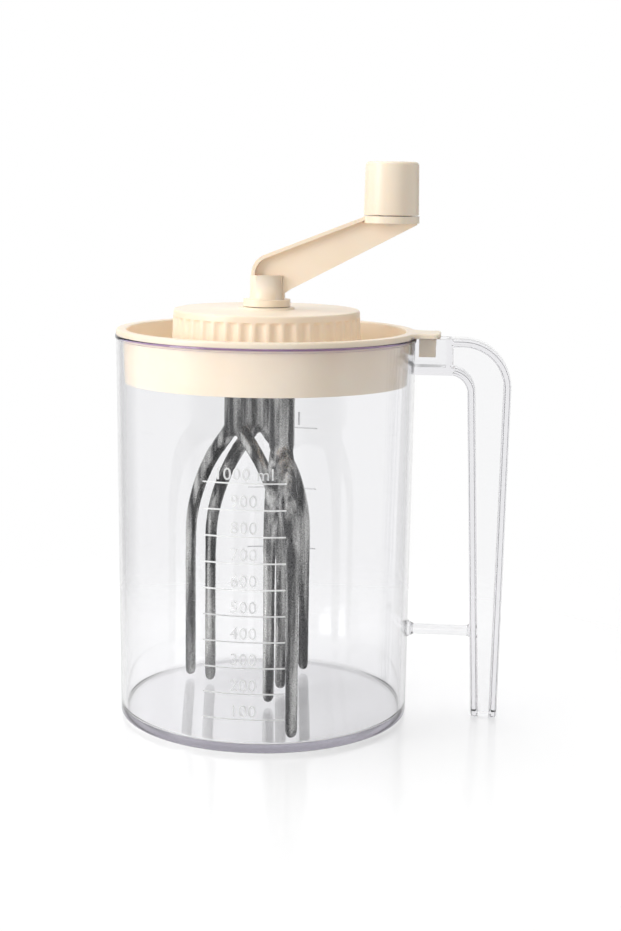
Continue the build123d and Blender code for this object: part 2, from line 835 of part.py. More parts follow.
with BuildPart() as beater_form:
    with BuildSketch(Plane.XY.offset(beater_split - beater_shaft_radius / 2)):
        Circle(beater_shaft_radius)
    extrude(amount=beater_shaft_top - beater_split + beater_shaft_radius / 2)
    fillet(beater_form.edges().group_by(Axis.Z)[0], beater_nose_rounding)
    for side in (1, -1):
        for section_plane, corners in arm_sections(side):
            with BuildSketch(section_plane):
                Polygon(*corners, align=None)
        loft()
        for section_plane, corners in tine_sections(side):
            with BuildSketch(section_plane):
                Polygon(*corners, align=None)
        loft(ruled=True)
    with BuildSketch(Plane.XY.offset(beater_shaft_top - beater_screw_bite - slip)):
        Circle(beater_screw_radius + screw_gap)
    extrude(amount=beater_screw_bite + slip, mode=Mode.SUBTRACT)

beaters = {}
for beater_name in beater_places:
    with BuildPart() as beater:
        with Locations(beater_location(beater_name)):
            add(beater_form.part)
    beaters[beater_name] = beater

# ================= Rotor plate and its screws =================

screw_sink = beater_screw_head_radius - beater_screw_radius
screw_length = plate_top - beater_shaft_top + beater_screw_bite
farthest_shaft = max(distance for distance, direction, turn in beater_places.values())
shaft_tops = [beater_location(name, plate_top, turned=False) for name in beater_places]
shaft_pockets = [beater_location(name, plate_bottom, turned=False) for name in beater_places]

with BuildPart() as rotor_plate:
    with BuildSketch(Plane.XY.offset(plate_bottom)):
        Circle(farthest_shaft + beater_shaft_radius + rotor_plate_rim)
    extrude(amount=rotor_plate_thickness)
    fillet(rotor_plate.edges().filter_by(GeomType.CIRCLE), rotor_plate_rounding)
    with BuildSketch(Plane.XY.offset(plate_bottom)):
        Circle(sun_shaft_radius)
        Rectangle(2 * sun_shaft_radius, flat_width + 2 * running, mode=Mode.INTERSECT)
    extrude(amount=rotor_plate_thickness, mode=Mode.SUBTRACT)
    with Locations(*shaft_pockets):
        Cylinder(beater_shaft_radius + running, rotor_pocket_depth, align=upwards, mode=Mode.SUBTRACT)
        Cylinder(beater_screw_radius + screw_gap, rotor_plate_thickness, align=upwards, mode=Mode.SUBTRACT)
    with Locations(*shaft_tops):
        Cone(
            beater_screw_radius + screw_gap,
            beater_screw_head_radius + screw_gap,
            screw_sink,
            align=downwards,
            mode=Mode.SUBTRACT,
        )

with BuildPart() as beater_screws:
    with Locations(*shaft_tops):
        Cone(beater_screw_radius, beater_screw_head_radius, screw_sink, align=downwards)
        Cylinder(beater_screw_radius, screw_length, align=downwards)

with BuildPart() as rotor_screw:
    with BuildSketch(Plane.XY.offset(plate_bottom - rotor_screw_head)):
        Circle(rotor_screw_head_radius)
    extrude(amount=rotor_screw_head)
    with BuildSketch(Plane.XY.offset(plate_bottom)):
        Circle(rotor_screw_radius)
    extrude(amount=rotor_screw_length)

# ================= Export =================

pieces = {
    "jar": jar,
    "handle": handle,
    "lid": lid,
    "ring_gear": ring_gear,
    "sun_shaft": sun_shaft,
    "floor_bush": floor_bush,
    "carrier": carrier,
    "planet_pins": planet_pins,
    "gear_cap": gear_cap,
    "cap_bush": cap_bush,
    "cap_screws": cap_screws,
    "crank": crank,
    "crank_screw": crank_screw,
    "knob": knob,
    "knob_plug": knob_plug,
    "knob_clip": knob_clip,
    "knob_pin": knob_pin,
    "rotor_plate": rotor_plate,
    "beater_screws": beater_screws,
    "rotor_screw": rotor_screw,
}
pieces.update(planets)
pieces.update(beaters)

for name, piece in pieces.items():
    piece.part.label = name
    export_step(piece.part, f"parts/{name}.step")
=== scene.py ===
"""Looks of a clear hand-cranked mixer jar with a cream lid, fluted drum, crank and cast beaters.

The classes hold their sizes in millimetres, in the same frame as the solids. Each mesh is scaled to metres once,
when it becomes an object.
"""

from __future__ import annotations

import logging
import math
from dataclasses import dataclass, field
from enum import Enum
from typing import Callable, Iterable, Sequence

import bmesh
import bpy
from mathutils import Matrix, Vector, noise

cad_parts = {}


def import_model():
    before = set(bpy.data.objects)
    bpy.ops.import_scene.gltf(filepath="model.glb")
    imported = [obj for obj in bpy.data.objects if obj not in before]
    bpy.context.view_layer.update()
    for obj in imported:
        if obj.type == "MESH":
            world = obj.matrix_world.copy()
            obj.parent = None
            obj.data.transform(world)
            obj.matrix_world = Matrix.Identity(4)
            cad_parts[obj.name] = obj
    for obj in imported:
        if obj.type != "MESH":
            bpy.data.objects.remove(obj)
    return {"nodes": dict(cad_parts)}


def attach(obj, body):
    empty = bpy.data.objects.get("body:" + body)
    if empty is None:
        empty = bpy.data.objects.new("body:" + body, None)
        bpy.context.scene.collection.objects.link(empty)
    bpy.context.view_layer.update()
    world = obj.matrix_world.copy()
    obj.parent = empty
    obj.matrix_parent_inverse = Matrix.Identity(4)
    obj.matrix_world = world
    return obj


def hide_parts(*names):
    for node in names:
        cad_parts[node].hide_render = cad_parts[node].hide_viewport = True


log = logging.getLogger("mixer_jar")

MM = 0.001
MERGE_DISTANCE = 1e-3
FLAT_ANGLE = 0.6
SHARP_ANGLE = 50
Colour = tuple[float, float, float]


class Body(str, Enum):
    """The moving bodies that pieces ride on."""

    JAR = "jar"
    LID = "lid"
    CRANK = "crank"
    KNOB = "knob"
    ROTOR = "rotor"


class Slot(str, Enum):
    """The material slots named for the scene's own pieces."""

    CLEAR = "clear_plastic"
    CREAM = "cream_plastic"
    CAST = "cast_metal"


# ---------------------------------------------------------------- finishes


def srgb(red: int, green: int, blue: int) -> Colour:
    """Turn an eight-bit screen colour into linear light.

    Args:
        red: Red, 0 to 255.
        green: Green, 0 to 255.
        blue: Blue, 0 to 255.

    Returns:
        The colour as linear values, 0 to 1.
    """

    def linear(level: int) -> float:
        """Return one channel in linear light."""
        share = level / 255
        return share / 12.92 if share <= 0.04045 else ((share + 0.055) / 1.055) ** 2.4

    return linear(red), linear(green), linear(blue)


class Board:
    """The node tree of a material or of the world, with short calls to add and join nodes."""

    def __init__(self, name: str) -> None:
        """Start a material with an empty tree and its output.

        Args:
            name: Name of the new material.
        """
        self.material = bpy.data.materials.new(name)
        self.material.use_nodes = True
        self.clear(self.material.node_tree, "ShaderNodeOutputMaterial")

    def clear(self, tree: bpy.types.NodeTree, output: str) -> None:
        """Empty a tree and give it its output node."""
        self.tree = tree
        self.tree.nodes.clear()
        self.output = self.tree.nodes.new(output)

    @classmethod
    def on(cls, tree: bpy.types.NodeTree, output: str) -> Board:
        """Start a board on a tree that exists, such as the world's.

        Args:
            tree: The tree, which is emptied.
            output: Type name of its output node.

        Returns:
            The board.
        """
        board = cls.__new__(cls)
        board.material = None
        board.clear(tree, output)
        return board

    def add(self, kind: str, **settings: object) -> bpy.types.Node:
        """Add a node.

        Args:
            kind: The node's type name.
            settings: Node properties to set.

        Returns:
            The new node.
        """
        node = self.tree.nodes.new(kind)
        for key, value in settings.items():
            setattr(node, key, value)
        return node

    def join(self, out: bpy.types.NodeSocket, into: bpy.types.NodeSocket) -> None:
        """Link one socket to another."""
        self.tree.links.new(out, into)

    def object_noise(
        self, scale: float, stretch: Sequence[float] = (1, 1, 1), detail: float = 3
    ) -> bpy.types.NodeSocket:
        """Add a noise on the object's own coordinates.

        Args:
            scale: Size of the pattern, in waves per metre.
            stretch: How far the pattern is squeezed along each axis.
            detail: Octaves of the noise.

        Returns:
            The noise's factor socket.
        """
        place = self.add("ShaderNodeTexCoord")
        mapping = self.add("ShaderNodeMapping")
        mapping.inputs["Scale"].default_value = stretch
        pattern = self.add("ShaderNodeTexNoise")
        pattern.inputs["Scale"].default_value = scale
        pattern.inputs["Detail"].default_value = detail
        self.join(place.outputs["Object"], mapping.inputs["Vector"])
        self.join(mapping.outputs["Vector"], pattern.inputs["Vector"])
        return pattern.outputs["Fac"]

    def ramp(self, factor: bpy.types.NodeSocket, stops: Sequence[tuple[float, Colour]]) -> bpy.types.NodeSocket:
        """Map a factor to colours.

        Args:
            factor: Socket that drives the ramp.
            stops: Positions and their colours, in rising order.

        Returns:
            The ramp's colour socket.
        """
        node = self.add("ShaderNodeValToRGB")
        elements = node.color_ramp.elements
        while len(elements) < len(stops):
            elements.new(0.5)
        for element, (position, colour) in zip(elements, stops):
            element.position = position
            element.color = (*colour, 1)
        self.join(factor, node.inputs["Fac"])
        return node.outputs["Color"]

    def levels(self, factor: bpy.types.NodeSocket, low: float, high: float) -> bpy.types.NodeSocket:
        """Stretch a 0 to 1 factor to a range.

        Args:
            factor: Socket to stretch.
            low: Value at 0.
            high: Value at 1.

        Returns:
            The stretched value socket.
        """
        node = self.add("ShaderNodeMapRange")
        node.inputs["To Min"].default_value = low
        node.inputs["To Max"].default_value = high
        self.join(factor, node.inputs["Value"])
        return node.outputs["Result"]

    def bump(self, factor: bpy.types.NodeSocket, strength: float, distance: float) -> bpy.types.NodeSocket:
        """Turn a height factor into a normal.

        Args:
            factor: Height socket.
            strength: Share of the effect.
            distance: Depth in metres.

        Returns:
            The normal socket.
        """
        node = self.add("ShaderNodeBump")
        node.inputs["Strength"].default_value = strength
        node.inputs["Distance"].default_value = distance
        self.join(factor, node.inputs["Height"])
        return node.outputs["Normal"]

    def shader(self, **inputs: object) -> bpy.types.Node:
        """Add a Principled shader.

        Args:
            inputs: Socket names with underscores for spaces, and their fixed values.

        Returns:
            The shader node.
        """
        node = self.add("ShaderNodeBsdfPrincipled")
        for key, value in inputs.items():
            node.inputs[key.replace("_", " ")].default_value = value
        return node


@dataclass(frozen=True)
class ClearPlastic:
    """Clear moulded plastic that takes a tint with depth, and can carry bands of painted shade, such as the dark
    violet line painted at the cup's rim bead.

    Attributes:
        name: Material name.
        tint: Colour of each surface the light passes.
        depth_tint: Colour that the light takes on inside the plastic.
        density: Strength of that colour, per metre.
        bands: Heights in metres and the surface colours there, painted shade such as the rim bead's violet line;
            empty where the tint is even.
        band_top: Height in metres that the bands' positions are shares of.
        roughness: Roughness of the surface.
        through: Share of the surface that lets light through.
        shade: Light that passes on in a shadow.
    """

    name: str
    tint: Colour = (0.962, 0.963, 0.968)
    depth_tint: Colour = (0.66, 0.645, 0.69)
    density: float = 26.0
    bands: tuple[tuple[float, Colour], ...] = ()
    band_top: float = 0.153
    roughness: float = 0.02
    through: float = 1.0
    shade: Colour = (0.98, 0.98, 0.982)

    def make(self) -> bpy.types.Material:
        """Build the material.

        Returns:
            The finished material.
        """
        board = Board(self.name)
        plastic = board.shader(
            Base_Color=(*self.tint, 1), Roughness=self.roughness, IOR=1.49, Transmission_Weight=self.through
        )
        # Painted shade: surface colour by height. On the cup this is a dark violet line at the rim bead, in place of
        # the darkening that the thick bead gets from its depth and refraction.
        if self.bands:
            place = board.add("ShaderNodeTexCoord")
            split = board.add("ShaderNodeSeparateXYZ")
            share = board.add("ShaderNodeMapRange")
            share.inputs["From Max"].default_value = self.band_top
            board.join(place.outputs["Object"], split.inputs["Vector"])
            board.join(split.outputs["Z"], share.inputs["Value"])
            stops = [(height / self.band_top, colour) for height, colour in self.bands]
            board.join(board.ramp(share.outputs["Result"], stops), plastic.inputs["Base Color"])
        depth = board.add("ShaderNodeVolumeAbsorption")
        depth.inputs["Color"].default_value = (*self.depth_tint, 1)
        depth.inputs["Density"].default_value = self.density
        light = board.add("ShaderNodeLightPath")
        clear = board.add("ShaderNodeBsdfTransparent")
        clear.inputs["Color"].default_value = (*self.shade, 1)
        mix = board.add("ShaderNodeMixShader")
        board.join(light.outputs["Is Shadow Ray"], mix.inputs["Fac"])
        board.join(plastic.outputs["BSDF"], mix.inputs[1])
        board.join(clear.outputs["BSDF"], mix.inputs[2])
        board.join(mix.outputs["Shader"], board.output.inputs["Surface"])
        board.join(depth.outputs["Volume"], board.output.inputs["Volume"])
        return board.material


@dataclass(frozen=True)
class GlossPlastic:
    """Solid moulded plastic with a soft gloss and a faint cloudiness in its colour.

    Attributes:
        name: Material name.
        low: Colour in the darker clouds.
        high: Colour in the lighter clouds.
        roughness: Roughness, lowest and highest.
        glow: Share of light that scatters under the surface.
    """

    name: str
    low: Colour
    high: Colour
    roughness: tuple[float, float] = (0.3, 0.36)
    glow: float = 0.0

    def make(self) -> bpy.types.Material:
        """Build the material.

        Returns:
            The finished material.
        """
        board = Board(self.name)
        plastic = board.shader(IOR=1.5)
        if self.glow > 0:
            plastic.inputs["Subsurface Weight"].default_value = self.glow
            plastic.inputs["Subsurface Radius"].default_value = (1.0, 0.55, 0.25)
            plastic.inputs["Subsurface Scale"].default_value = 0.003
        clouds = board.object_noise(45, detail=2)
        board.join(board.ramp(clouds, [(0.35, self.low), (0.65, self.high)]), plastic.inputs["Base Color"])
        sheen = board.object_noise(120, detail=1)
        board.join(board.levels(sheen, *self.roughness), plastic.inputs["Roughness"])
        board.join(board.bump(sheen, 0.06, 0.0001), plastic.inputs["Normal"])
        board.join(plastic.outputs["BSDF"], board.output.inputs["Surface"])
        return board.material


@dataclass(frozen=True)
class CastMetal:
    """Rough cast metal, mottled, with faint drawn streaks along its length.

    Attributes:
        name: Material name.
        dark: Colour of the skin's darker patches.
        pale: Colour where the skin is rubbed bright.
        metal: Share of metallic reflection.
        roughness: Roughness, lowest and highest.
        pits: Depth of the cast skin in metres.
    """

    name: str
    dark: Colour = srgb(44, 44, 46)
    pale: Colour = srgb(188, 188, 186)
    metal: float = 0.95
    roughness: tuple[float, float] = (0.16, 0.36)
    pits: float = 0.0002

    def make(self) -> bpy.types.Material:
        """Build the material.

        Returns:
            The finished material.
        """
        board = Board(self.name)
        metal = board.shader(Metallic=self.metal)
        streaks = board.object_noise(340, stretch=(1, 1, 0.06), detail=3)
        board.join(board.ramp(streaks, [(0.42, self.dark), (0.66, self.pale)]), metal.inputs["Base Color"])
        skin = board.object_noise(1500, detail=3)
        board.join(board.levels(skin, *self.roughness), metal.inputs["Roughness"])
        board.join(board.bump(skin, 0.35, self.pits), metal.inputs["Normal"])
        board.join(metal.outputs["BSDF"], board.output.inputs["Surface"])
        return board.material


@dataclass(frozen=True)
class TurnedSteel:
    """Plain turned steel of the pins and screws.

    Attributes:
        name: Material name.
        low: Colour in the darker tool marks.
        high: Colour in the lighter tool marks.
    """

    name: str
    low: Colour = srgb(165, 166, 168)
    high: Colour = srgb(198, 199, 201)

    def make(self) -> bpy.types.Material:
        """Build the material.

        Returns:
            The finished material.
        """
        board = Board(self.name)
        steel = board.shader(Metallic=1.0)
        marks = board.object_noise(1200, stretch=(0.3, 0.3, 3), detail=2)
        board.join(board.ramp(marks, [(0.3, self.low), (0.7, self.high)]), steel.inputs["Base Color"])
        board.join(board.levels(marks, 0.25, 0.38), steel.inputs["Roughness"])
        board.join(steel.outputs["BSDF"], board.output.inputs["Surface"])
        return board.material


# Painted shade at the rim bead: the band from 0.1521 to 0.153 m paints a dark violet line on the surface. Its violet
# follows the plastic's own tint, and its darkness stands in for the bead's depth and refraction.
CLEAR = ClearPlastic(
    "clear_plastic_painted_rim_shade",
    bands=(
        (0.0, (0.962, 0.963, 0.968)),
        (0.1519, (0.962, 0.963, 0.968)),
        (0.1521, (0.34, 0.2, 0.56)),
        (0.153, (0.34, 0.2, 0.56)),
    ),
)
CLEAR_HANDLE = ClearPlastic("clear_handle_plastic", tint=(0.95, 0.952, 0.957), density=30.0)
# Painted highlight: the raised marks are clear moulded ribs. They are given a partly opaque white finish so that
# they look lit, in place of the light that the clear ribs catch.
MARKS_PAINTED_HIGHLIGHT = ClearPlastic("raised_scale_painted_highlight", tint=(0.97, 0.97, 0.97), density=10.0, roughness=0.3, through=0.4)
CREAM = GlossPlastic("cream_gloss_plastic", srgb(248, 230, 207), srgb(250, 234, 213), glow=0.15)
GEAR_WHITE = GlossPlastic("white_gear_plastic", srgb(226, 224, 216), srgb(234, 232, 226), (0.35, 0.45))
CAST = CastMetal("grey_cast_metal")
STEEL = TurnedSteel("turned_screw_steel")


# ---------------------------------------------------------------- mesh tools


def to_object(
    form: bmesh.types.BMesh, name: str, finish: bpy.types.Material, smooth_below: float = 32.0
) -> bpy.types.Object:
    """Scale a form to metres and make it a smooth-shaded object at the origin.

    Args:
        form: The mesh in millimetres, which is freed.
        name: Name of the new object.
        finish: Its material.
        smooth_below: Edges that turn by less than this many degrees are shaded smooth.

    Returns:
        The new object.
    """
    bmesh.ops.recalc_face_normals(form, faces=form.faces)
    bmesh.ops.scale(form, vec=(MM, MM, MM), verts=form.verts)
    mesh = bpy.data.meshes.new(name)
    form.to_mesh(mesh)
    form.free()
    mesh.shade_smooth()
    mesh.set_sharp_from_angle(angle=math.radians(smooth_below))
    mesh.materials.append(finish)
    piece = bpy.data.objects.new(name, mesh)
    bpy.context.scene.collection.objects.link(piece)
    return piece


def rounded_line(form: bmesh.types.BMesh, corners: Sequence[Sequence[float]], closed: bool) -> list:
    """Draw a line through corners in the XZ plane, each rounded by its own amount.

    Args:
        form: The mesh to draw in.
        corners: X, Z and the length that the rounding takes off each side of the corner.
        closed: Whether the last corner joins the first.

    Returns:
        The line's vertices and edges.
    """
    points = [form.verts.new((x, 0, z)) for x, z, cut in corners]
    for first, second in zip(points, points[1:]):
        form.edges.new((first, second))
    if closed:
        form.edges.new((points[-1], points[0]))
    for point, (x, z, cut) in zip(points, corners):
        if cut > 0:
            bmesh.ops.bevel(
                form, geom=[point], offset=cut, segments=5 if cut > 0.3 else 3,
                profile=0.5, affect="VERTICES", material=-1,
            )
    return list(form.verts) + list(form.edges)


def turned(
    corners: Sequence[Sequence[float]], closed: bool, steps: int = 128, middle: float = 0.0
) -> bmesh.types.BMesh:
    """Spin a half section round an upright axis.

    Args:
        corners: Radius, height and rounding of each corner.
        closed: Whether the section is a loop that stays off the axis.
        steps: Steps of the full turn.
        middle: X of the axis.

    Returns:
        The round form.
    """
    form = bmesh.new()
    line = rounded_line(form, corners, closed)
    bmesh.ops.spin(
        form, geom=line, cent=(0, 0, 0), axis=(0, 0, 1), angle=math.tau, steps=steps, use_merge=True
    )
    bmesh.ops.remove_doubles(form, verts=form.verts, dist=1e-4)
    bmesh.ops.translate(form, vec=(middle, 0, 0), verts=form.verts)
    return form


def copy_of(node: bpy.types.Object) -> bmesh.types.BMesh:
    """Copy a solid's mesh, joined at its seams, in millimetres.

    Args:
        node: The solid's object, which stays as it is.

    Returns:
        The copy.
    """
    form = bmesh.new()
    form.from_mesh(node.data)
    bmesh.ops.scale(form, vec=(1 / MM, 1 / MM, 1 / MM), verts=form.verts)
    bmesh.ops.remove_doubles(form, verts=form.verts, dist=MERGE_DISTANCE)
    return form


def plain_copy(node: bpy.types.Object) -> bmesh.types.BMesh:
    """Copy a solid's mesh and join its flat triangles into whole faces.

    Args:
        node: The solid's object, which stays as it is.

    Returns:
        The copy.
    """
    form = copy_of(node)
    bmesh.ops.dissolve_limit(
        form, angle_limit=math.radians(FLAT_ANGLE), verts=form.verts, edges=form.edges,
        use_dissolve_boundaries=False,
    )
    return form


def rounded_copy(
    node: bpy.types.Object, edge: float, segments: int, start: float, wanted: Callable[[Vector], bool]
) -> bmesh.types.BMesh:
    """Copy a solid's mesh and round some of its sharp edges.

    Args:
        node: The solid's object, which stays as it is.
        edge: Size of the rounding, which the edges have to leave room for.
        segments: Mesh steps across the rounding.
        start: X at which the faces are cut, so that the rounding can begin there.
        wanted: Tells for both ends of an edge whether it is rounded.

    Returns:
        The rounded copy.
    """
    form = plain_copy(node)
    every = list(form.verts) + list(form.edges) + list(form.faces)
    bmesh.ops.bisect_plane(form, geom=every, dist=1e-4, plane_co=(start, 0, 0), plane_no=(1, 0, 0))
    sharp = [
        side for side in form.edges
        if len(side.link_faces) == 2
        and side.calc_face_angle(0) > math.radians(SHARP_ANGLE)
        and all(wanted(point.co) for point in side.verts)
    ]
    bmesh.ops.bevel(
        form, geom=sharp, offset=edge, segments=segments, profile=0.5, affect="EDGES", material=-1,
        clamp_overlap=False,
    )
    return form


def even_shading(piece: bpy.types.Object) -> None:
    """Shade flat faces flat right up to their rounded edges."""
    normals = piece.modifiers.new("even_shading", "WEIGHTED_NORMAL")
    normals.keep_sharp = True
    normals.weight = 60


def settle(piece: bpy.types.Object, body: Body, slot: Slot, *nodes: str) -> None:
    """Hand a piece to its body and hide the solids that it stands for.

    Args:
        piece: The new piece.
        body: Body that it rides on.
        slot: Not used.
        nodes: Solids that it replaces.
    """
    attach(piece, body.value)
    if nodes:
        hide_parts(*nodes)
    log.info("%s: %d faces on %s", piece.name, len(piece.data.polygons), body.value)


# ---------------------------------------------------------------- sub-assemblies


@dataclass
class Jar:
    """The clear cup with its raised rim bead and floor.

    Attributes:
        height: Height of the cup.
        base_radius: Outer radius at the base.
        rim_radius: Outer radius at the rim.
        wall: Thickness of the wall.
        floor: Thickness of the floor.
        bead_height: Height of the rim bead.
        bead_proud: How far the bead stands out.
    """

    height: float = 153.0
    base_radius: float = 58.3
    rim_radius: float = 59.2
    wall: float = 2.2
    floor: float = 3.0
    bead_height: float = 1.6
    bead_proud: float = 0.46

    def outside(self, height: float) -> float:
        """Return the outer radius at a height."""
        return self.base_radius + (self.rim_radius - self.base_radius) * height / self.height

    def build(self, finish: bpy.types.Material) -> bpy.types.Object:
        """Make the cup.

        Args:
            finish: Clear plastic.

        Returns:
            The cup.
        """
        bead = self.height - self.bead_height
        corners = [
            (0, 0, 0),
            (self.base_radius, 0, 0.8),
            (self.outside(bead), bead, 0.15),
            (self.rim_radius + self.bead_proud, bead, 0.25),
            (self.rim_radius + self.bead_proud, self.height, 0.5),
            (self.rim_radius - self.wall, self.height, 0.3),
            (self.outside(self.floor) - self.wall, self.floor, 1.5),
            (0, self.floor, 0),
        ]
        cup = to_object(turned(corners, closed=False, steps=192), "jar_cup", finish)
        settle(cup, Body.JAR, Slot.CLEAR, "jar")
        return cup


@dataclass
class Handle:
    """The clear handle, moulded on the cup.

    Attributes:
        edge: Rounding of its rails' long edges.
        half_width: Half the width of the rails.
        start: X at which the rounding begins. Nearer the pocket the bevel throws a spike into the jar.
        root_gap: How far its root is kept off the cup's wall.
    """

    edge: float = 1.2
    half_width: float = 7.0
    start: float = 74.0
    root_gap: float = 0.03

    def build(self, node: bpy.types.Object, jar: Jar, finish: bpy.types.Material) -> bpy.types.Object:
        """Round the edges of a copy of the solid handle.

        Args:
            node: The solid handle.
            jar: The cup that it is moulded on.
            finish: Clear plastic.

        Returns:
            The handle.
        """
        form = rounded_copy(
            node, self.edge, segments=5, start=self.start,
            wanted=lambda place: abs(place.y) > self.half_width - 0.1 and place.x > self.start - 0.01,
        )
        root = [
            point for point in form.verts
            if math.hypot(point.co.x, point.co.y) < jar.rim_radius + jar.bead_proud + 0.02
        ]
        bmesh.ops.translate(form, vec=(self.root_gap, 0, 0), verts=root)
        rail = to_object(form, "moulded_handle", finish)
        even_shading(rail)
        settle(rail, Body.JAR, Slot.CLEAR, "handle")
        return rail


@dataclass
class VolumeScale:
    """The raised marks moulded on the cup: a fine scale in front and a coarse one behind.

    Attributes:
        first_height: Height of the front scale's 100 mark.
        step: Height between the front marks.
        marks: Number of front marks.
        half_arc: Half the width of a line, along the wall.
        line: Height of a line.
        proud: How far the marks stand out.
        figure: Size of the figures.
        lift: Height of a figure's foot above its line.
        back_heights: Heights of the lines behind.
        back_along: Place of the back figure along the wall.
    """

    first_height: float = 13.4
    step: float = 10.03
    marks: int = 10
    half_arc: float = 15.6
    line: float = 0.5
    proud: float = 0.4
    figure: float = 6.4
    lift: float = 1.2
    back_heights: tuple[float, ...] = (107.0, 80.2, 53.5)
    back_along: float = -7.0

    def flat_line(self, form: bmesh.types.BMesh, height: float) -> None:
        """Add one line to the flat scale, cut finely enough to bend.

        Args:
            form: The flat scale.
            height: Height of the line.
        """
        cube = bmesh.ops.create_cube(form, size=1.0)["verts"]
        bmesh.ops.scale(form, vec=(2 * self.half_arc, self.line, self.proud), verts=cube)
        bmesh.ops.translate(form, vec=(0, height, self.proud / 2 + 0.01), verts=cube)
        long = {side for point in cube for side in point.link_edges if side.calc_length() > self.half_arc}
        bmesh.ops.subdivide_edges(form, edges=list(long), cuts=23, use_grid_fill=True)

    def flat_figures(
        self, form: bmesh.types.BMesh, text: str, height: float, size: float, along: float = 0.0
    ) -> None:
        """Add one row of figures to the flat scale.

        Args:
            form: The flat scale.
            text: The figures.
            height: Height of their foot.
            size: Size of the letters.
            along: Place of their middle along the wall.
        """
        curve = bpy.data.curves.new("figures", type="FONT")
        curve.body = text
        curve.size = size
        curve.align_x = "CENTER"
        curve.space_character = 1.08
        curve.extrude = self.proud / 2
        curve.bevel_depth = 0.06
        curve.offset = -0.05
        holder = bpy.data.objects.new("figures", curve)
        bpy.context.scene.collection.objects.link(holder)
        bpy.context.view_layer.update()
        mesh = bpy.data.meshes.new_from_object(holder)
        mesh.transform(Matrix.Translation((along, height, self.proud / 2 + 0.07)))
        form.from_mesh(mesh)
        bpy.data.objects.remove(holder)
        bpy.data.curves.remove(curve)
        bpy.data.meshes.remove(mesh)

    def wrap(self, form: bmesh.types.BMesh, jar: Jar, facing: float) -> None:
        """Bend the flat scale round the cup.

        Args:
            form: The flat scale, X along the wall, Y up and Z outwards.
            jar: The cup.
            facing: Direction that the scale faces, in degrees.
        """
        for point in form.verts:
            along, height, out = point.co
            radius = jar.outside(height) + out
            angle = math.radians(facing) + along / jar.outside(height)
            point.co = (radius * math.cos(angle), radius * math.sin(angle), height)

    def build(self, jar: Jar, finish: bpy.types.Material) -> None:
        """Make both scales.

        Args:
            jar: The cup that carries them.
            finish: Plastic of the marks, partly opaque white as painted highlight.
        """
        front = bmesh.new()
        for mark in range(self.marks):
            height = self.first_height + self.step * mark
            self.flat_line(front, height)
            text = f"{100 * (mark + 1)}" + (" ml" if mark == self.marks - 1 else "")
            self.flat_figures(front, text, height + self.lift, self.figure)
        self.wrap(front, jar, -90)
        settle(to_object(front, "scale_front", finish), Body.JAR, Slot.CLEAR)
        back = bmesh.new()
        for height in self.back_heights:
            self.flat_line(back, height)
        self.flat_figures(back, "1", self.back_heights[0] + self.lift, 1.3 * self.figure, self.back_along)
        self.wrap(back, jar, 90)
        settle(to_object(back, "scale_back", finish), Body.JAR, Slot.CLEAR)


@dataclass
class Lid:
    """The cream dish with its rim, skirt, tab and peg.

    Attributes:
        name: Name of its piece.
    """

    name: str = "lid_dish"

    def build(self, node: bpy.types.Object, finish: bpy.types.Material) -> None:
        """Shade a copy of the solid lid, whose rim is rounded already.

        Args:
            node: The solid lid.
            finish: Cream plastic.
        """
        dish = to_object(plain_copy(node), self.name, finish)
        even_shading(dish)
        settle(dish, Body.LID, Slot.CREAM, "lid")


